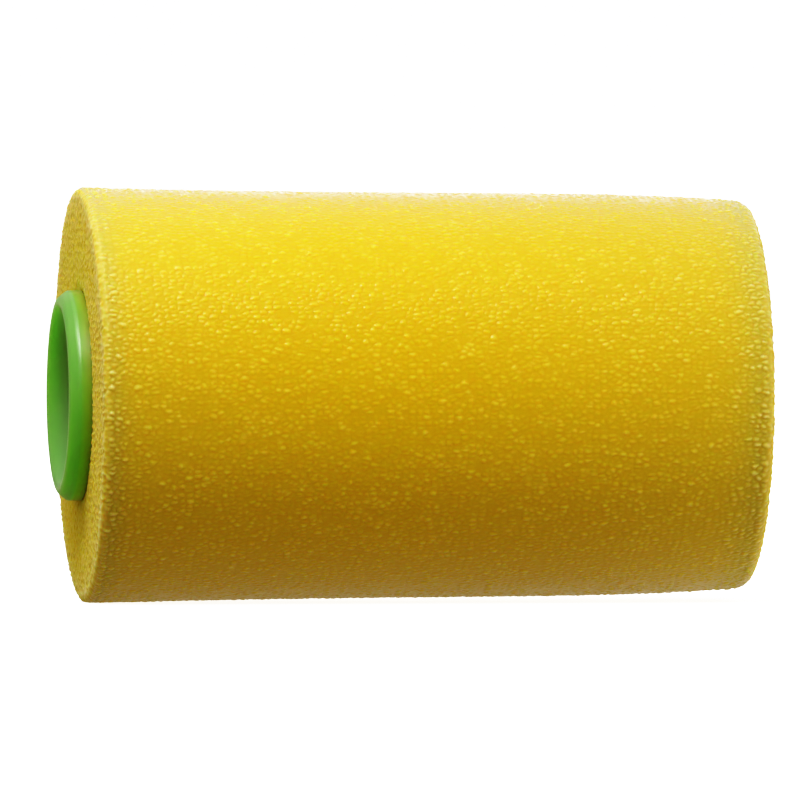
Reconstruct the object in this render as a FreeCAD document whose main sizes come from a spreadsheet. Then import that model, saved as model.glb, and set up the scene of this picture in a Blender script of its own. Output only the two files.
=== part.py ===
# Foam paint-roller head for a wire roller frame, in millimetres.
#
# The roller axis is X, from the capped end at -X to the open end at +X, and +Z is up.
# The origin is on the axis, at the middle of the foam's length.
#
# A foam sleeve is glued on a core tube. A closed end cap presses into one end of the
# tube and an open end bush into the other. These four turn together about a spindle
# sleeve, which grips the frame's wire. Its wide journal runs in the bush, and its thin
# tail runs in a blind socket inside the cap. A collar behind the bush keeps it in.

import FreeCAD, Part
import math
import os
import re

import Sketcher

SIZES = {
    # Foam sleeve, cut a little wider at the capped end.
    "foam_length": 60.0,
    "foam_cap_radius": 18.5,
    "foam_open_radius": 17.6,
    "foam_cap_bevel": 0.2,
    "foam_open_round": 1.3,
    # Core tube, the full length of the foam.
    "core_radius": 8.0,
    "core_wall": 1.2,
    # Flanges that cover the joint between foam and tube.
    "flange_radius": 9.4,
    "cap_height": 2.05,
    "cap_edge_width": 1.2,
    "cap_crest_radius": 8.7,
    "cap_shoulder_round": 0.6,
    "cap_lip_round": 0.65,
    "bush_height": 1.0,
    "bush_edge_round": 0.5,
    # Dish in the outside of the cap, a shallow spherical bowl.
    "dish_radius": 8.05,
    "dish_depth": 3.4,
    # Stems inside the tube, with ribs that are crushed as the stem goes in.
    "stem_radius": 6.7,
    "stem_lead": 0.6,
    "cap_stem_length": 12.0,
    "bush_stem_length": 10.0,
    "rib_radius": 0.35,
    "rib_height": 0.15,
    "rib_count": 8,
    # Relief inside the cap's stem: a moulded ring pocket, bridged by webs.
    "relief_inner_radius": 4.0,
    "relief_outer_radius": 5.5,
    "relief_depth": 7.5,
    "web_width": 1.0,
    "web_setback": 0.6,
    "web_count": 4,
    # Spindle sleeve and its bearings.
    "journal_radius": 4.5,
    "tail_radius": 2.5,
    "bearing_gap": 0.05,
    "end_float": 0.3,
    "collar_radius": 5.7,
    "collar_width": 1.5,
    "barrel_radius": 4.2,
    "sleeve_proud": 0.4,
    "socket_depth": 8.5,
    "tail_bevel": 0.4,
    # Bore that grips the frame's wire.
    "wire_radius": 3.0,
    "wire_bore_length": 48.0,
    "mouth_bevel": 0.6,
}

CAP_FACE = "(-foam_length / 2)"
OPEN_FACE = "(foam_length / 2)"
CAP_STEM_END = f"({CAP_FACE} + cap_stem_length)"
BUSH_STEM_END = f"({OPEN_FACE} - bush_stem_length)"
SPINDLE_MOUTH = f"({OPEN_FACE} + bush_height + sleeve_proud)"
CORE_BORE = "(core_radius - core_wall)"


def bound(text):
    """A size in words, as an expression on the sheet's cells. Every alias has an underscore."""
    return re.sub(r"[a-z]+(_[a-z]+)+", r"sizes.\g<0>", text)


def make_sheet(doc):
    sheet = doc.addObject("Spreadsheet::Sheet", "sizes")
    for row, (name, number) in enumerate(SIZES.items(), start=1):
        sheet.set(f"A{row}", name)
        sheet.set(f"B{row}", str(number))
        sheet.setAlias(f"B{row}", name)
    doc.recompute()
    return sheet


def make_body(doc, name):
    body = doc.addObject("PartDesign::Body", name)
    body.Label = name
    body.Placement = FreeCAD.Placement()
    return body


def add_sketch(body, name, role, offset="0"):
    """A sketch on one of the body's origin planes, moved along its normal by the offset."""
    sketch = body.newObject("Sketcher::SketchObject", name)
    plane = next(part for part in body.Origin.OriginFeatures if part.Role == role)
    sketch.AttachmentSupport = (plane, [""])
    sketch.MapMode = "FlatFace"
    sketch.setExpression("AttachmentOffset.Base.z", bound(offset))
    return sketch


def constrain(sketch, text, kind, *where):
    """Adds a sketch dimension that follows the sheet."""
    at = sketch.addConstraint(Sketcher.Constraint(kind, *where, value(sketch, text)))
    sketch.setExpression(f"Constraints[{at}]", bound(text))


def value(item, text):
    return item.Document.sizes.evalExpression(bound(text))


def closed_outline(sketch, corners):
    """Straight lines through the corners, each corner held at its two sizes from the origin."""
    points = [FreeCAD.Vector(value(sketch, across), value(sketch, up), 0) for across, up in corners]
    for i, point in enumerate(points):
        sketch.addGeometry(Part.LineSegment(point, points[(i + 1) % len(points)]), False)
    for i, (across, up) in enumerate(corners):
        sketch.addConstraint(Sketcher.Constraint("Coincident", i, 2, (i + 1) % len(corners), 1))
        constrain(sketch, across, "DistanceX", -1, 1, i, 1)
        constrain(sketch, up, "DistanceY", -1, 1, i, 1)


def turn(body, name, corners):
    """Turns an outline of (place along X, radius) corners about the roller axis."""
    sketch = add_sketch(body, f"{name}_outline", "XZ_Plane")
    closed_outline(sketch, corners)
    revolution = body.newObject("PartDesign::Revolution", name)
    revolution.Profile = (sketch, [""])
    revolution.ReferenceAxis = (sketch, ["H_Axis"])
    revolution.Angle = 360
    sketch.Visibility = False
    body.Document.recompute()
    return revolution


def circular_edges(feature, place, radius):
    """Names of the feature's circles about the roller axis, at one place and radius."""
    x = value(feature, place)
    r = value(feature, radius)
    names = []
    for number, edge in enumerate(feature.Shape.Edges, start=1):
        if edge.Degenerated:
            continue
        curve = edge.Curve
        if isinstance(curve, Part.Circle) and abs(curve.Center.x - x) + abs(curve.Radius - r) < 1e-4:
            names.append(f"Edge{number}")
    if not names:
        raise ValueError(f"{feature.Name} has no circle at {place}, radius {radius}")
    return names


def soften(body, kind, name, edges, amount):
    """A fillet or a chamfer on circles of the body's last feature."""
    base = body.Tip
    names = [edge for place, radius in edges for edge in circular_edges(base, place, radius)]
    feature = body.newObject(f"PartDesign::{kind}", name)
    feature.Base = (base, names)
    feature.setExpression("Radius" if kind == "Fillet" else "Size", bound(amount))
    body.Document.recompute()
    return feature


def repeat(body, name, pad, sketch, count):
    """Repeats a pad evenly about the roller axis."""
    pattern = body.newObject("PartDesign::PolarPattern", name)
    pattern.Originals = [pad]
    pattern.Axis = (sketch, ["N_Axis"])
    pattern.Angle = 360
    pattern.setExpression("Occurrences", bound(count))
    body.Tip = pattern
    body.Document.recompute()
    return pattern


def crush_ribs(body, start, length):
    """Round ribs along a stem. They stand proud of it and bite into the core tube."""
    sketch = add_sketch(body, "rib_section", "YZ_Plane", start)
    centre = "(stem_radius + rib_height - rib_radius)"
    middle = FreeCAD.Vector(0, value(sketch, centre), 0)
    normal = FreeCAD.Vector(0, 0, 1)
    sketch.addGeometry(Part.Circle(middle, normal, value(sketch, "rib_radius")), False)
    sketch.addConstraint(Sketcher.Constraint("PointOnObject", 0, 3, -2))
    constrain(sketch, centre, "DistanceY", -1, 1, 0, 3)
    constrain(sketch, "rib_radius", "Radius", 0)
    pad = body.newObject("PartDesign::Pad", "rib")
    pad.Profile = (sketch, [""])
    pad.setExpression("Length", bound(length))
    sketch.Visibility = False
    body.Document.recompute()
    repeat(body, "ribs", pad, sketch, "rib_count")


def relief_webs(body):
    """Flat webs across the ring pocket, from the socket's boss to the stem's wall."""
    floor = f"({CAP_STEM_END} - relief_depth)"
    sketch = add_sketch(body, "web_section", "YZ_Plane", floor)
    inner = "(relief_inner_radius - web_width / 2)"
    outer = "(relief_outer_radius + web_width / 2)"
    half = "(web_width / 2)"
    closed_outline(sketch, [(f"-{half}", inner), (half, inner), (half, outer), (f"-{half}", outer)])
    pad = body.newObject("PartDesign::Pad", "web")
    pad.Profile = (sketch, [""])
    pad.setExpression("Length", bound("relief_depth - web_setback"))
    sketch.Visibility = False
    body.Document.recompute()
    repeat(body, "webs", pad, sketch, "web_count")


def make_foam_sleeve(doc):
    """Thick foam tube, tapered from the capped end to the open end and rounded off there."""
    body = make_body(doc, "foam_sleeve")
    turn(body, "foam", [
        (CAP_FACE, "core_radius"),
        (CAP_FACE, "foam_cap_radius"),
        (OPEN_FACE, "foam_open_radius"),
        (OPEN_FACE, "core_radius"),
    ])
    soften(body, "Fillet", "open_corner", [(OPEN_FACE, "foam_open_radius")], "foam_open_round")
    soften(body, "Chamfer", "cap_corner", [(CAP_FACE, "foam_cap_radius")], "foam_cap_bevel")
    return body


def make_core_tube(doc):
    """Plain plastic tube that carries the foam."""
    body = make_body(doc, "core_tube")
    turn(body, "tube", [
        (CAP_FACE, CORE_BORE),
        (CAP_FACE, "core_radius"),
        (OPEN_FACE, "core_radius"),
        (OPEN_FACE, CORE_BORE),
    ])
    return body


def hollow_dish(body, crest):
    """Sinks the spherical bowl into the cap's crest, as an arc turned about the roller axis."""
    before = body.Shape.Volume
    radius = "((dish_radius ^ 2 + dish_depth ^ 2) / (2 * dish_depth))"
    floor = f"({crest} + dish_depth)"
    sketch = add_sketch(body, "dish_outline", "XZ_Plane")
    rim = FreeCAD.Vector(value(sketch, crest), value(sketch, "dish_radius"), 0)
    bottom = FreeCAD.Vector(value(sketch, floor), 0, 0)
    middle = FreeCAD.Vector(value(sketch, f"{floor} - {radius}"), 0, 0)
    mouth = FreeCAD.Vector(rim.x, 0, 0)
    circle = Part.Circle(middle, FreeCAD.Vector(0, 0, 1), value(sketch, radius))
    rim_angle = math.atan2(rim.y, rim.x - middle.x)
    sketch.addGeometry(Part.ArcOfCircle(circle, 0, rim_angle), False)
    sketch.addGeometry(Part.LineSegment(rim, mouth), False)
    sketch.addGeometry(Part.LineSegment(mouth, bottom), False)
    for line, after in ((0, 1), (1, 2), (2, 0)):
        sketch.addConstraint(Sketcher.Constraint("Coincident", line, 2, after, 1))
    for line, point in ((0, 1), (0, 3), (2, 1)):
        sketch.addConstraint(Sketcher.Constraint("PointOnObject", line, point, -1))
    sketch.addConstraint(Sketcher.Constraint("Vertical", 1))
    constrain(sketch, crest, "DistanceX", -1, 1, 1, 1)
    constrain(sketch, "dish_radius", "DistanceY", -1, 1, 1, 1)
    constrain(sketch, floor, "DistanceX", -1, 1, 2, 2)
    groove = body.newObject("PartDesign::Groove", "dish")
    groove.Profile = (sketch, [""])
    groove.ReferenceAxis = (sketch, ["H_Axis"])
    groove.Angle = 360
    sketch.Visibility = False
    body.Document.recompute()
    if body.Shape.Volume >= before:
        raise ValueError("the dish cuts nothing from the cap")


def make_end_cap(doc):
    """Closed cap: a bevelled flange with a dish in it, and a ribbed stem with a socket."""
    body = make_body(doc, "end_cap")
    crest = f"({CAP_FACE} - cap_height)"
    shoulder = f"({CAP_FACE} - cap_edge_width)"
    relief_floor = f"({CAP_STEM_END} - relief_depth)"
    socket_floor = f"({CAP_STEM_END} - socket_depth)"
    socket = "(tail_radius + bearing_gap)"
    turn(body, "cap", [
        (crest, "0"),
        (crest, "cap_crest_radius"),
        (shoulder, "flange_radius"),
        (CAP_FACE, "flange_radius"),
        (CAP_FACE, "stem_radius"),
        (f"{CAP_STEM_END} - stem_lead", "stem_radius"),
        (CAP_STEM_END, "stem_radius - stem_lead / 2"),
        (CAP_STEM_END, "relief_outer_radius"),
        (relief_floor, "relief_outer_radius"),
        (relief_floor, "relief_inner_radius"),
        (CAP_STEM_END, "relief_inner_radius"),
        (CAP_STEM_END, f"{socket} + tail_bevel"),
        (f"{CAP_STEM_END} - tail_bevel", socket),
        (socket_floor, socket),
        (socket_floor, "0"),
    ])
    hollow_dish(body, crest)
    soften(body, "Fillet", "shoulder_corner", [(shoulder, "flange_radius")], "cap_shoulder_round")
    lips = [(crest, "cap_crest_radius"), (crest, "dish_radius")]
    soften(body, "Fillet", "lip_corners", lips, "cap_lip_round")
    crush_ribs(body, CAP_FACE, "cap_stem_length - 2 * stem_lead")
    relief_webs(body)
    return body


def make_end_bush(doc):
    """Open flanged bush for the spindle sleeve's journal."""
    body = make_body(doc, "end_bush")
    face = f"({OPEN_FACE} + bush_height)"
    bore = "(journal_radius + bearing_gap)"
    turn(body, "bush", [
        (face, bore),
        (face, "flange_radius"),
        (OPEN_FACE, "flange_radius"),
        (OPEN_FACE, "stem_radius"),
        (f"{BUSH_STEM_END} + stem_lead", "stem_radius"),
        (BUSH_STEM_END, "stem_radius - stem_lead / 2"),
        (BUSH_STEM_END, bore),
    ])
    soften(body, "Fillet", "edge_corner", [(face, "flange_radius")], "bush_edge_round")
    rib_start = f"{BUSH_STEM_END} + 2 * stem_lead"
    crush_ribs(body, rib_start, "bush_stem_length - 2 * stem_lead")
    return body


def make_spindle_sleeve(doc):
    """Long sleeve with a blind bore for the wire, a wide journal, a collar and a thin tail."""
    body = make_body(doc, "spindle_sleeve")
    collar_face = f"({BUSH_STEM_END} - end_float)"
    collar_back = f"({collar_face} - collar_width)"
    shoulder = f"({CAP_STEM_END} + end_float)"
    tip = f"({CAP_STEM_END} - socket_depth + end_float)"
    bore_floor = f"({SPINDLE_MOUTH} - wire_bore_length)"
    turn(body, "sleeve", [
        (tip, "0"),
        (tip, "tail_radius - tail_bevel"),
        (f"{tip} + tail_bevel", "tail_radius"),
        (shoulder, "tail_radius"),
        (shoulder, "barrel_radius"),
        (collar_back, "barrel_radius"),
        (collar_back, "collar_radius"),
        (collar_face, "collar_radius"),
        (collar_face, "journal_radius"),
        (SPINDLE_MOUTH, "journal_radius"),
        (SPINDLE_MOUTH, "wire_radius + mouth_bevel"),
        (f"{SPINDLE_MOUTH} - mouth_bevel", "wire_radius"),
        (bore_floor, "wire_radius"),
        (f"{bore_floor} - wire_radius / 2", "0"),
    ])
    return body


def check(doc, bodies):
    """Stops before anything is written if the document holds a failed object or a bad solid."""
    doc.recompute()
    for item in doc.Objects:
        if "Invalid" in item.State or "Error" in item.State:
            raise ValueError(f"{item.Name} failed: {item.State}")
    for body in bodies:
        shape = body.Shape
        if shape.isNull() or not shape.isValid() or len(shape.Solids) != 1:
            raise ValueError(f"{body.Label} isn't one valid solid")


def main():
    doc = FreeCAD.newDocument("roller_head")
    make_sheet(doc)
    makers = [make_foam_sleeve, make_core_tube, make_end_cap, make_end_bush, make_spindle_sleeve]
    bodies = [make(doc) for make in makers]
    check(doc, bodies)
    os.makedirs("parts", exist_ok=True)
    for body in bodies:
        body.Shape.exportStep(f"parts/{body.Label}.step")
        print(f"{body.Label}: {body.Shape.Volume:.0f} mm3")


main()
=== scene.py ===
import math

import bpy
import numpy as np
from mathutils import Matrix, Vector


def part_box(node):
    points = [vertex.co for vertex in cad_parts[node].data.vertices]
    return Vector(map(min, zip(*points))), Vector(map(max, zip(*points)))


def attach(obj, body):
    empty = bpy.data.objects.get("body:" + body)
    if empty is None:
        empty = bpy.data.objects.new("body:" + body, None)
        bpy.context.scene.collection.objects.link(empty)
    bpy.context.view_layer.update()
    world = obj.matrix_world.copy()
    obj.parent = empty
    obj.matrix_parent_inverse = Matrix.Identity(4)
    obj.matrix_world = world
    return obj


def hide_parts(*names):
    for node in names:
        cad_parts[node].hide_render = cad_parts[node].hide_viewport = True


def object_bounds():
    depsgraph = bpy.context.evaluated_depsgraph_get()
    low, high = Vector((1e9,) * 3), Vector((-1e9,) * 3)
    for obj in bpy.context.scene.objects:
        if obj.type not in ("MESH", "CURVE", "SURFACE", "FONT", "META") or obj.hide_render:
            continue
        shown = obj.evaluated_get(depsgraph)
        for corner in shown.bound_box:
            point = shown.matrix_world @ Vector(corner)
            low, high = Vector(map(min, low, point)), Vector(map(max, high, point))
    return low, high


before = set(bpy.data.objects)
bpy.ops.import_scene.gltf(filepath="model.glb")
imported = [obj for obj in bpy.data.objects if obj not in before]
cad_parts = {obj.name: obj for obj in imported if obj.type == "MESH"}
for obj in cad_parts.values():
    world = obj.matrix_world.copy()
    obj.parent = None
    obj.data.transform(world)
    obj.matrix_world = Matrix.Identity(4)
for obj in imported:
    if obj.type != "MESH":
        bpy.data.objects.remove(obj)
cad_low, cad_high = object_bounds()

MM = 0.001
SEED = 11

# --- Foam sleeve: its shape between the cuts ---

FOAM_RADIUS = 18.55 * MM    # at the capped end
FALL_AT_CAP = 0.48 * MM     # how much narrower the sleeve is past that end
FALL_AT_OPEN = 0.80 * MM    # and how much more it narrows towards the open end
CAP_BEND = 3.2              # the higher this power, the nearer the cap the first fall is
OPEN_BEND = 7.5             # and the nearer the open end the second
CAP_CORNER = 0.6 * MM       # rounding of the corner beside the cap
OPEN_CORNER = 0.7 * MM      # rounding of the worn corner at the open end
FACE_SWELL = 0.20 * MM      # how far the sawn ends swell out round the green flanges
SWELL_REACH = 0.7 * MM      # over this distance from the flange
SAW_SLANT = 0.014           # slope of the saw cut beside the cap, which leans out at the top
SLANT_EASE = 3 * MM         # the slant grows over this distance from the flange
SLANT_DEPTH = 5 * MM        # and it dies away over this distance along the sleeve
BORE_GAP = 0.05 * MM        # the foam stays this far off its core tube
BORE_EASE = 0.05 * MM       # and this much further off between its ends

# --- Its mesh ---

MESH_STEP = 0.12 * MM       # spacing along the outer surface
ROUND_STEP = 0.10 * MM      # and round it
FACE_STEP = 0.14 * MM       # and on the two cut ends
BORE_RINGS = 38             # rings of points in the bore, between the two ends

# --- Its cells ---

CELL = 0.66 * MM            # mean length of a cell along the sleeve
SKIN_CELL = 0.46 * MM       # its width round the outer surface
FACE_CELL = 0.68 * MM       # its width on the sawn ends
FINE_CELL = 0.34 * MM       # length of the fine cells laid over the others
SKIN_RELIEF = 0.108 * MM    # how far a swollen cell stands out of the outer surface
FRAY_RELIEF = 0.27 * MM     # and beside the sawn edges, where the cells are torn and frayed
FINE_SHARE = 0.15           # how much of that relief the fine cells make
PIT_DEPTH = 0.16 * MM       # how deep the cells are open in the two cut ends
FRAY_AT_CAP = 1.6 * MM      # how far the frayed band, painted paler for light shining through its torn edge, reaches in from the edge at the cap
FRAY_AT_OPEN = 2.6 * MM     # and from the edge at the open end
FRAY_TAIL = 5               # a fainter fray reaches this many times further over the outer surface
FRAY_TAIL_SHARE = 0.40      # and makes this share of it
CLUMP = 4 * CELL            # length of the patches where more cells have a window, painted pale as a highlight
CLUMPS_ROUND = 40           # and how many of them go round the sleeve

# Measured in cells
CELL_MARGIN = 0.06          # a cell's centre keeps this far from the sides of its square
WALL = 0.20                 # how wide the walls between opened cells are
STRUT = 0.26                # and the struts where three of them meet
CREASE = 0.55               # and the creases between swollen cells
WINDOW_REACH = 0.26         # how far a window, painted pale as a highlight, reaches from the middle of its cell
WINDOW_GROWTH = 0.20        # and how much further in the tallest cells
CLUMP_REACH = 0.6           # how far a clump reaches from its middle, in patches

# Each cell has a random number from 0 to 1
WINDOW_LOT = 0.58           # a cell has a window if its number is above this one
WINDOW_SPAN = 0.55          # and the further above, over this span, the clearer it is
CLUMP_GAIN = 0.20           # a clump adds up to this much to the number


def bell(distance, reach):
    """1 at no distance, falling smoothly to 0 well past the reach."""
    return np.exp(-((distance / reach) ** 2))


def cell_pattern(place, seed, around=0):
    """For points in a plane measured in cells: the distances to the three nearest cell centres, and the
    nearest cell's random number. Each unit square holds one centre. Where around is given, the second axis
    closes on itself after that many cells."""
    table = np.random.default_rng(seed).random((4096, 3))
    square = np.floor(place).astype(np.int64)
    near = np.full((len(place), 3), 9.0)
    lot = np.zeros(len(place))
    for step in np.ndindex(3, 3):
        other = square + np.array(step) - 1
        row = other[:, 1] % around if around else other[:, 1]
        draw = table[((other[:, 0] * 73856093) ^ (row * 19349663)) % len(table)]
        centre = other + CELL_MARGIN + (1 - 2 * CELL_MARGIN) * draw[:, :2]
        gap = np.linalg.norm(centre - place, axis=1)
        lot = np.where(gap < near[:, 0], draw[:, 2], lot)
        near = np.sort(np.column_stack([near, gap]), axis=1)[:, :3]
    return near, lot


def open_cells(near, lot):
    """Depth of cells that the saw has opened, 0 on their thin walls to 1 in the deepest pits."""
    wall = bell(near[:, 1] - near[:, 0], WALL)
    strut = bell(near[:, 2] - near[:, 0], STRUT)
    return (1 - np.clip(0.55 * wall + 0.60 * strut, 0, 1)) * (0.45 + 0.55 * lot)


def domes(near, lot):
    """Height of swollen cells, some taller than others, with creases between them."""
    return (0.35 + 0.65 * lot) * (1 - bell(near[:, 1] - near[:, 0], CREASE))


def skin_cells(run, angle, radius):
    """Outer surface: the height of its swollen cells, and the windows in some of them, painted pale as
    highlights.
    """
    turns = angle / (2 * math.pi)
    around = round(2 * math.pi * radius / SKIN_CELL)
    near, lot = cell_pattern(np.column_stack([run / CELL, turns * around]), SEED, around)
    around = round(2 * math.pi * radius / (FINE_CELL * SKIN_CELL / CELL))
    fine = domes(*cell_pattern(np.column_stack([run / FINE_CELL, turns * around]), SEED + 3, around))
    patches = np.column_stack([run / CLUMP, turns * CLUMPS_ROUND])
    patch, patch_lot = cell_pattern(patches, SEED + 2, CLUMPS_ROUND)
    clump = patch_lot * bell(patch[:, 0], CLUMP_REACH)
    share = np.clip((lot - WINDOW_LOT + CLUMP_GAIN * clump) / WINDOW_SPAN, 0, 1)
    window_highlight = share * bell(near[:, 0], WINDOW_REACH + WINDOW_GROWTH * lot)
    return (1 - FINE_SHARE) * domes(near, lot) + FINE_SHARE * fine, window_highlight


def foam_radius(t):
    """The sleeve's radius from the capped end, t = 0, to the open end, t = 1."""
    return FOAM_RADIUS - FALL_AT_CAP * (1 - (1 - t) ** CAP_BEND) - FALL_AT_OPEN * t ** OPEN_BEND


def corner_arc(x, radius, size, outward):
    """Quarter round between an end face and the outer surface, walked in the order of the outline."""
    steps = max(3, math.ceil(size * math.pi / 2 / MESH_STEP))
    for i in range(1, steps):
        a = math.pi / 2 * i / steps
        if outward:
            yield x + size * (1 - math.cos(a)), radius - size * (1 - math.sin(a))
        else:
            yield x - size * (1 - math.sin(a)), radius - size * (1 - math.cos(a))


def foam_outline():
    """Points (x, radius) once round the sleeve's section, from the bore at the cap to the bore again."""
    low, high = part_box("foam_sleeve")
    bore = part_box("core_tube")[1].z + BORE_GAP
    cap_radius, open_radius = foam_radius(0), foam_radius(1)
    length = high.x - low.x
    points = []
    for r in np.arange(bore, cap_radius - CAP_CORNER, FACE_STEP):
        points.append((low.x, r))
    points += corner_arc(low.x, cap_radius, CAP_CORNER, True)
    for x in np.arange(low.x + CAP_CORNER, high.x - OPEN_CORNER, MESH_STEP):
        points.append((x, foam_radius((x - low.x) / length)))
    lean = foam_radius(1 - OPEN_CORNER / length) - open_radius
    for x, r in corner_arc(high.x, open_radius, OPEN_CORNER, False):
        points.append((x, r + lean * (high.x - x) / OPEN_CORNER))
    for r in np.arange(open_radius - OPEN_CORNER, bore, -FACE_STEP):
        points.append((high.x, r))
    for x in np.linspace(high.x, low.x, BORE_RINGS + 2)[1:-1]:
        points.append((x, bore))
    return np.array(points)


def turned(outline):
    """The outline turned round the axis: for each point its place, the way out of the foam there, its angle
    round the axis, its distance along the outline, whether it is in the bore, and the points in each ring."""
    behind, ahead = np.roll(outline, 1, axis=0), np.roll(outline, -1, axis=0)
    along = ahead - behind
    normal = np.column_stack([-along[:, 1], along[:, 0]])
    normal /= np.linalg.norm(normal, axis=1)[:, None]
    run = np.cumsum(np.hypot(*(outline - behind).T))
    around = math.ceil(2 * math.pi * outline[:, 1].max() / ROUND_STEP)
    ring, spoke = (a.reshape(-1) for a in np.indices((len(outline), around)))
    angle = 2 * math.pi * (spoke + 0.5 * (ring % 2)) / around

    def swept(section):
        x, r = section[ring, 0], section[ring, 1]
        return np.column_stack([x, r * np.cos(angle), r * np.sin(angle)])

    return swept(outline), swept(normal), angle, run[ring], ring >= len(outline) - BORE_RINGS, around


def frayed(off_axis, from_cap, from_open, cut):
    """How torn the foam is, and how much paler it is painted for light shining through its thin torn edge: 1
    at a sawn edge and less further in from it.
    """
    at_cap = from_cap < from_open
    end_radius = np.where(at_cap, foam_radius(0), foam_radius(1))
    edge = np.minimum(from_cap, from_open) * (1 - cut) + (end_radius - off_axis) * cut
    reach = np.where(at_cap, FRAY_AT_CAP, FRAY_AT_OPEN)
    tail = np.exp(-edge / (FRAY_TAIL * reach)) * (1 - cut)
    return (1 - FRAY_TAIL_SHARE) * bell(edge, reach) + FRAY_TAIL_SHARE * tail


def ring_faces(rings, around):
    """Four-sided faces between neighbouring rings of points, the last ring joined to the first."""
    first = np.arange(rings * around).reshape(rings, around)
    after = np.roll(first, -1, axis=0)
    faces = np.stack([first, np.roll(first, -1, axis=1), np.roll(after, -1, axis=1), after], axis=-1)
    return faces.reshape(-1, 4)[:, ::-1]


def quad_mesh(name, place, faces):
    """A smooth mesh of four-sided faces, filled from arrays."""
    mesh = bpy.data.meshes.new(name)
    mesh.vertices.add(len(place))
    mesh.vertices.foreach_set("co", place.astype(np.float32).ravel())
    mesh.loops.add(faces.size)
    mesh.loops.foreach_set("vertex_index", faces.astype(np.int32).ravel())
    mesh.polygons.add(len(faces))
    mesh.polygons.foreach_set("loop_start", np.arange(0, faces.size, 4, dtype=np.int32))
    mesh.polygons.foreach_set("loop_total", np.full(len(faces), 4, dtype=np.int32))
    mesh.update(calc_edges=True)
    mesh.validate()
    mesh.shade_smooth()
    return mesh


def make_foam():
    """The sleeve as one closed skin: swollen cells over the outside, and open ones in the cut ends."""
    outline = foam_outline()
    base, out, angle, run, in_bore, around = turned(outline)
    cut = np.abs(out[:, 0]) ** 2
    off_axis = np.hypot(base[:, 1], base[:, 2])
    from_cap = base[:, 0] - outline[:, 0].min()
    from_open = outline[:, 0].max() - base[:, 0]
    fray_and_glow = frayed(off_axis, from_cap, from_open, cut)
    swollen, window_highlight = skin_cells(run, angle, outline[:, 1].max())
    skin = swollen * (SKIN_RELIEF + (FRAY_RELIEF - SKIN_RELIEF) * fray_and_glow)
    pits = open_cells(*cell_pattern(base[:, 1:] / FACE_CELL, SEED + 1))

    past_flange = off_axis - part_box("end_cap")[1].z
    swell = FACE_SWELL * cut * np.clip(past_flange / SWELL_REACH, 0, 1)
    height = skin * (1 - cut) - PIT_DEPTH * pits * cut + swell
    place = base + out * np.where(in_bore, -BORE_EASE, height)[:, None]
    slant = SAW_SLANT * np.clip(past_flange / SLANT_EASE, 0, 1) * np.exp(-from_cap / SLANT_DEPTH)
    place[:, 0] -= slant * base[:, 2]

    faces = ring_faces(len(outline), around)
    mesh = quad_mesh("foam_roller", place, faces)
    # level also sets the colour: painted shade down in the creases and pits, painted light up on the cell
    # tops
    level = swollen * (1 - cut) + (1 - pits) * cut     # from the creases or pits up to the tops of the cells
    window_highlight *= 1 - cut
    for name, values in (("level", level), ("cut", cut), ("window_highlight", window_highlight), ("fray_and_glow", fray_and_glow)):
        layer = mesh.attributes.new(name, "FLOAT", "POINT")
        layer.data.foreach_set("value", values.astype(np.float32))
    sawn = cut[faces].mean(axis=1) > 0.5
    mesh.polygons.foreach_set("material_index", sawn.astype(np.int32))
    foam = bpy.data.objects.new("foam_roller", mesh)
    bpy.context.collection.objects.link(foam)
    return foam


# --- Materials ---

# Stops of colour, from the creases or pits of the foam up to the tops of its cells: darker in the creases and
# pits as painted shade, paler on the tops as painted light
SKIN_SHADED_COLOURS = ((0.0, (0.78, 0.528, 0.001)), (0.40, (0.82, 0.567, 0.002)), (1.0, (0.87, 0.628, 0.016)))
# Sawn ends: darker than the outer surface and darkest in the open pits, as painted shade in the pores
SAWN_SHADED_COLOURS = ((0.0, (0.62, 0.415, 0.008)), (1.0, (0.76, 0.55, 0.055)))
# Torn band at the sawn edges: partly frayed foam, partly painted light shining through its thin edge, paler
# and beiger, with painted shade in its creases
TORN_AND_GLOW_COLOURS = ((0.0, (0.59, 0.485, 0.065)), (0.40, (0.67, 0.570, 0.135)), (1.0, (0.85, 0.78, 0.380)))
WINDOW_HIGHLIGHT_COLOUR = (0.905, 0.68, 0.060)    # painted highlight on the thin, shinier skin over a few of the cells
SKIN_ROUGHNESS, WINDOW_ROUGHNESS, SAWN_ROUGHNESS = 0.29, 0.20, 0.75
FOAM_DEPTH = 1.9 * MM                   # how far light spreads in the foam
FOAM_SPREAD = (1.0, 0.55, 0.12)         # for red, green and blue, as a share of that

# The darker and the lighter colour of each plastic, and how far light spreads in it
GREEN = ((0.163, 0.425, 0.078), (0.188, 0.455, 0.090))
GREEN_DEPTH = 12.0 * MM
NATURAL = ((0.66, 0.64, 0.57), (0.74, 0.72, 0.66))
CORE = ((0.55, 0.53, 0.46), (0.62, 0.60, 0.53))
PALE_DEPTH = 0.6 * MM

# Painted light on the rims of the green flanges: a yellow-green glow where light from the foam shines into
# them
FOAM_GLOW_GREEN = (0.46, 0.57, 0.035)
TINT_SHARE = 0.6                        # how much of that colour there is right beside the foam
TINT_REACH = 1.1 * MM                   # how far out from the foam's end it fades away
TINT_BEGINS = 0.6 * MM                  # how far in from the rim it begins
TINT_IS_FULL = 0.1 * MM                 # and from where outwards it is at its most


def node_tools(tree):
    """Two functions for a node tree: one adds a node with its inputs set, and one joins two sockets."""
    def add(kind, **inputs):
        node = tree.nodes.new(kind)
        for key, value in inputs.items():
            node.inputs[key.replace("_", " ")].default_value = value
        return node

    return add, tree.links.new


def new_material(name):
    """A node material, its Principled shader and the two functions of its node tree."""
    material = bpy.data.materials.new(name)
    material.use_nodes = True
    return material, material.node_tree.nodes["Principled BSDF"], *node_tools(material.node_tree)


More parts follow.
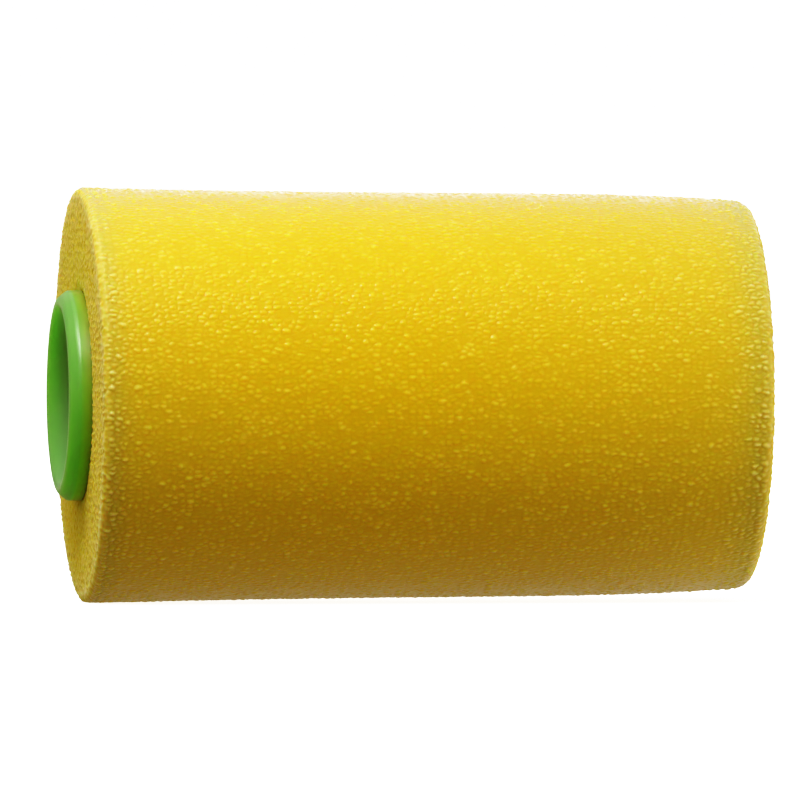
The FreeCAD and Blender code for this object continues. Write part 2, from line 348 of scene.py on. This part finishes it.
def set_sheen(shader, weight, roughness, tint):
    shader.inputs["Sheen Weight"].default_value = weight
    shader.inputs["Sheen Roughness"].default_value = roughness
    shader.inputs["Sheen Tint"].default_value = (*tint, 1)


def set_depth(shader, weight, radius, scale):
    """How far light sinks in and spreads, for each of red, green and blue."""
    shader.inputs["Subsurface Weight"].default_value = weight
    shader.inputs["Subsurface Radius"].default_value = radius
    shader.inputs["Subsurface Scale"].default_value = scale


def foam_material(name, sheen):
    """Open-cell foam: light sinks in and spreads, and some swollen cells have a shinier skin, painted paler
    as a highlight.
    """
    material, shader, add, link = new_material(name)

    def read(layer):
        node = add("ShaderNodeAttribute")
        node.attribute_name = layer
        return node.outputs["Fac"]

    def ramp(factor, stops):
        node = add("ShaderNodeValToRGB")
        elements = node.color_ramp.elements
        for i, (position, colour) in enumerate(stops):
            stop = elements[i] if i < 2 else elements.new(position)
            stop.position, stop.color = position, (*colour, 1)
        link(factor, node.inputs["Fac"])
        return node.outputs["Color"]

    def mix(factor, a, b):
        node = add("ShaderNodeMix")
        node.data_type = "RGBA"
        link(factor, node.inputs["Factor"])
        for colour, socket in ((a, node.inputs[6]), (b, node.inputs[7])):
            if isinstance(colour, tuple):
                socket.default_value = (*colour, 1)
            else:
                link(colour, socket)
        return node.outputs[2]

    # Base colour: painted shade in the creases and pits and painted light on the tops, painted highlights in
    # the windows, a painted glow in the torn band
    level = read("level")
    whole = mix(read("window_highlight"), ramp(level, SKIN_SHADED_COLOURS), WINDOW_HIGHLIGHT_COLOUR)
    body = mix(read("cut"), whole, ramp(level, SAWN_SHADED_COLOURS))
    # the torn band: frayed foam, painted paler for light shining through its thin edge
    link(mix(read("fray_and_glow"), body, ramp(level, TORN_AND_GLOW_COLOURS)), shader.inputs["Base Color"])

    shine = add("ShaderNodeMapRange", To_Min=SKIN_ROUGHNESS, To_Max=WINDOW_ROUGHNESS)
    link(read("window_highlight"), shine.inputs["Value"])
    dull = add("ShaderNodeMix", B=SAWN_ROUGHNESS)
    link(read("cut"), dull.inputs["Factor"])
    link(shine.outputs["Result"], dull.inputs["A"])
    link(dull.outputs["Result"], shader.inputs["Roughness"])

    place = add("ShaderNodeTexCoord")
    grain = add("ShaderNodeTexNoise", Scale=5200, Detail=2)
    link(place.outputs["Object"], grain.inputs["Vector"])
    bump = add("ShaderNodeBump", Strength=0.3, Distance=0.05 * MM)
    link(grain.outputs["Fac"], bump.inputs["Height"])
    link(bump.outputs["Normal"], shader.inputs["Normal"])
    set_depth(shader, 1.0, FOAM_SPREAD, FOAM_DEPTH)
    set_sheen(shader, sheen, 0.45, (1.0, 0.92, 0.94))
    shader.inputs["Specular IOR Level"].default_value = 0.25
    return material


def moulded_material(name, colours, roughness, depth, gloss=0.5):
    """Moulded plastic: slow colour drift from flow in the mould, a faint texture, light that sinks in."""
    material, shader, add, link = new_material(name)
    place = add("ShaderNodeTexCoord")
    flow = add("ShaderNodeTexNoise", Scale=160, Detail=3, Distortion=0.6)
    drift = add("ShaderNodeValToRGB")
    for stop, position, colour in zip(drift.color_ramp.elements, (0.35, 0.70), colours):
        stop.position, stop.color = position, (*colour, 1)
    link(place.outputs["Object"], flow.inputs["Vector"])
    link(flow.outputs["Fac"], drift.inputs["Fac"])
    link(drift.outputs["Color"], shader.inputs["Base Color"])
    skin = add("ShaderNodeTexNoise", Scale=2400, Detail=2)
    link(place.outputs["Object"], skin.inputs["Vector"])
    bump = add("ShaderNodeBump", Strength=0.12, Distance=0.04 * MM)
    link(skin.outputs["Fac"], bump.inputs["Height"])
    link(bump.outputs["Normal"], shader.inputs["Normal"])
    set_depth(shader, 0.9, (0.5, 1.0, 0.35), depth)
    shader.inputs["Roughness"].default_value = roughness
    shader.inputs["Specular IOR Level"].default_value = gloss
    return material


def green_plastic():
    """The caps' green, cloudy enough for light to cross it, and painted yellower where light from the foam
    shines in.
    """
    material = moulded_material("green_moulded", GREEN, 0.36, GREEN_DEPTH, 0.8)
    shader = material.node_tree.nodes["Principled BSDF"]
    plain = shader.inputs["Base Color"].links[0].from_socket
    add, link = node_tools(material.node_tree)

    def math_node(operation):
        node = add("ShaderNodeMath")
        node.operation = operation
        return node

    place = add("ShaderNodeTexCoord")
    split = add("ShaderNodeSeparateXYZ")
    link(place.outputs["Object"], split.inputs["Vector"])
    off_middle = math_node("ABSOLUTE")
    link(split.outputs["X"], off_middle.inputs[0])
    foam_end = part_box("foam_sleeve")[1].x
    by_foam = add(
        "ShaderNodeMapRange",
        From_Min=foam_end,
        From_Max=foam_end + TINT_REACH,
        To_Min=TINT_SHARE,
        To_Max=0.0,
    )
    link(off_middle.outputs["Value"], by_foam.inputs["Value"])

    across = add("ShaderNodeVectorMath")
    across.operation = "MULTIPLY"
    across.inputs[1].default_value = (0, 1, 1)
    off_axis = add("ShaderNodeVectorMath")
    off_axis.operation = "LENGTH"
    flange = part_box("end_cap")[1].z
    rim = add("ShaderNodeMapRange", From_Min=flange - TINT_BEGINS, From_Max=flange - TINT_IS_FULL)
    link(place.outputs["Object"], across.inputs[0])
    link(across.outputs["Vector"], off_axis.inputs[0])
    link(off_axis.outputs["Value"], rim.inputs["Value"])

    both = math_node("MULTIPLY")
    link(by_foam.outputs["Result"], both.inputs[0])
    link(rim.outputs["Result"], both.inputs[1])
    # painted glow of foam light on the flange rims
    tint = add("ShaderNodeMix")
    tint.data_type = "RGBA"
    tint.inputs[7].default_value = (*FOAM_GLOW_GREEN, 1)
    link(both.outputs["Value"], tint.inputs["Factor"])
    link(plain, tint.inputs[6])
    link(tint.outputs[2], shader.inputs["Base Color"])
    set_sheen(shader, 0.30, 0.3, (0.80, 0.68, 0.60))
    return material


def studio_paper():
    """White paper with a light of its own, so that it stays white."""
    material, shader, add, link = new_material("studio_paper")
    shader.inputs["Base Color"].default_value = (0.9, 0.9, 0.9, 1)
    shader.inputs["Roughness"].default_value = 0.9
    shader.inputs["Emission Color"].default_value = (1, 1, 1, 1)
    shader.inputs["Emission Strength"].default_value = 1.0
    return material


# --- Studio ---

MID_VIEW = 71.75 * MM        # width of the view at the roller
CAMERA_DISTANCE = 1.35       # from the roller's middle
CAMERA_TURN = 8.2            # degrees from square-on, towards the capped end
CAMERA_RISE = 0.6            # degrees above level
AIM_SIDE = -1.12 * MM        # the middle of the picture, from the roller's middle
AIM_UP = -0.45 * MM
SENSOR = 36                  # the width of the camera's sensor, in mm

FLOOR_RINGS = (0.0, 0.02, 0.05, 0.1, 0.3, 1.0, 2.0)
FLOOR_SPOKES = 96
FLOOR_BEND = 0.8             # radius of the sweep from the floor up into the wall
BEND_STEPS = 12
STUDIO_RADIUS = 3.0
WALL_TOP = 3.0

SKY_LIGHT = 0.97
GROUND_GLOW = (0.38, 0.332, 0.20)       # light that comes back up from below
HORIZON_GLOW = (0.365, 0.365, 0.365)
GROUND_EDGE, HORIZON_EDGE = 0.44, 0.54  # where the two end, from 0 straight down to 1 straight up

# Name, place, width and watts of each lamp. All of them face the roller.
LAMPS = (
    ("softbox", (-0.25, -0.65, 1.0), 0.40, 6.9),
    ("cap_end_light", (-0.065, -0.03, 0.09), 0.05, 0.030),
    ("open_end_light", (0.10, -0.04, -0.012), 0.05, 0.020),
    ("low_end_light", (0.042, -0.010, -0.025), 0.015, 0.0005),
    ("back_light", (0.25, 0.9, 0.2), 0.5, 2.2),
)

TONE_WHITE = 1.6             # the light that the picture shows as white
# Amounts of light, and how bright the picture shows each
TONE = ((0.05, 0.010), (0.10, 0.036), (0.20, 0.128), (0.32, 0.27), (0.50, 0.48), (0.75, 0.73), (1.10, 0.93))


def make_camera():
    turn, rise = math.radians(CAMERA_TURN), math.radians(CAMERA_RISE)
    back = Vector((-math.sin(turn) * math.cos(rise), -math.cos(turn) * math.cos(rise), math.sin(rise)))
    side = Vector((math.cos(turn), -math.sin(turn), 0))
    up = back.cross(side)
    data = bpy.data.cameras.new("camera")
    data.sensor_width = SENSOR
    data.lens = SENSOR * CAMERA_DISTANCE / MID_VIEW
    camera = bpy.data.objects.new("camera", data)
    camera.location = back * CAMERA_DISTANCE + side * AIM_SIDE + up * AIM_UP
    camera.rotation_euler = (-back).to_track_quat("-Z", "Y").to_euler()
    bpy.context.collection.objects.link(camera)
    bpy.context.scene.camera = camera


def make_floor(level):
    """A round white floor that sweeps up into a wall well beyond the camera. Only the camera sees it."""
    outline = [(r, 0.0) for r in FLOOR_RINGS]
    for i in range(BEND_STEPS + 1):
        a = math.pi / 2 * i / BEND_STEPS
        outline.append((STUDIO_RADIUS - FLOOR_BEND * (1 - math.sin(a)), FLOOR_BEND * (1 - math.cos(a))))
    outline.append((STUDIO_RADIUS, WALL_TOP))
    points, faces = [], []
    for r, z in outline:
        for j in range(FLOOR_SPOKES):
            a = 2 * math.pi * j / FLOOR_SPOKES
            points.append((r * math.cos(a), r * math.sin(a), level + z))
    for i in range(len(outline) - 1):
        inner, outer = i * FLOOR_SPOKES, (i + 1) * FLOOR_SPOKES
        for j in range(FLOOR_SPOKES):
            k = (j + 1) % FLOOR_SPOKES
            faces.append((inner + j, inner + k, outer + k, outer + j))
    mesh = bpy.data.meshes.new("studio_floor")
    mesh.from_pydata(points, [], faces)
    mesh.shade_smooth()
    floor = bpy.data.objects.new("studio_floor", mesh)
    bpy.context.collection.objects.link(floor)
    floor.data.materials.append(studio_paper())
    floor.visible_diffuse = False
    floor.visible_glossy = False
    floor.visible_shadow = False


def make_air():
    """Light from all of the sky: white overhead, grey at the horizon, and a dim warm return from below."""
    world = bpy.data.worlds.new("studio_air")
    world.use_nodes = True
    add, link = node_tools(world.node_tree)
    place = add("ShaderNodeTexCoord")
    split = add("ShaderNodeSeparateXYZ")
    height = add("ShaderNodeMapRange", From_Min=-1)
    ramp = add("ShaderNodeValToRGB")
    link(place.outputs["Generated"], split.inputs["Vector"])
    link(split.outputs["Z"], height.inputs["Value"])
    link(height.outputs["Result"], ramp.inputs["Fac"])
    stops = ramp.color_ramp.elements
    stops[0].position, stops[0].color = GROUND_EDGE, (*GROUND_GLOW, 1)
    stops[1].position, stops[1].color = 1.0, (1, 1, 1, 1)
    stops.new(HORIZON_EDGE).color = (*HORIZON_GLOW, 1)
    back = world.node_tree.nodes["Background"]
    link(ramp.outputs["Color"], back.inputs["Color"])
    back.inputs["Strength"].default_value = SKY_LIGHT
    bpy.context.scene.world = world


def add_lamp(name, place, width, watts):
    """A round soft lamp that faces the roller's middle."""
    data = bpy.data.lights.new(name, "AREA")
    data.shape = "DISK"
    data.size = width
    data.energy = watts
    lamp = bpy.data.objects.new(name, data)
    lamp.location = place
    lamp.rotation_euler = (-Vector(place)).to_track_quat("-Z", "Y").to_euler()
    lamp.visible_camera = False
    bpy.context.collection.objects.link(lamp)


def set_tone():
    """The tone curve of a camera: a gentle toe and shoulder, so that white paper stays white."""
    view = bpy.context.scene.view_settings
    view.view_transform = "Standard"
    view.use_curve_mapping = True
    mapping = view.curve_mapping
    mapping.white_level = (TONE_WHITE,) * 3
    curve = mapping.curves[3]
    for light, shown in TONE:
        curve.points.new(light / TONE_WHITE, shown)
    mapping.update()


# --- Putting it together ---

foam = make_foam()
foam.data.materials.append(foam_material("foam_skin", 1.0))
foam.data.materials.append(foam_material("foam_sawn", 0.2))
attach(foam, "roller_head")
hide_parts("foam_sleeve")

green = green_plastic()
natural = moulded_material("bearing_moulded", NATURAL, 0.4, PALE_DEPTH)
core = moulded_material("core_extruded", CORE, 0.5, PALE_DEPTH)
for node, material in (
    ("end_cap", green),
    ("end_bush", green),
    ("spindle_sleeve", natural),
    ("core_tube", core),
):
    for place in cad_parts[node].material_slots:
        place.material = material

set_tone()
make_air()
for lamp in LAMPS:
    add_lamp(*lamp)
make_floor(cad_low.z)
make_camera()
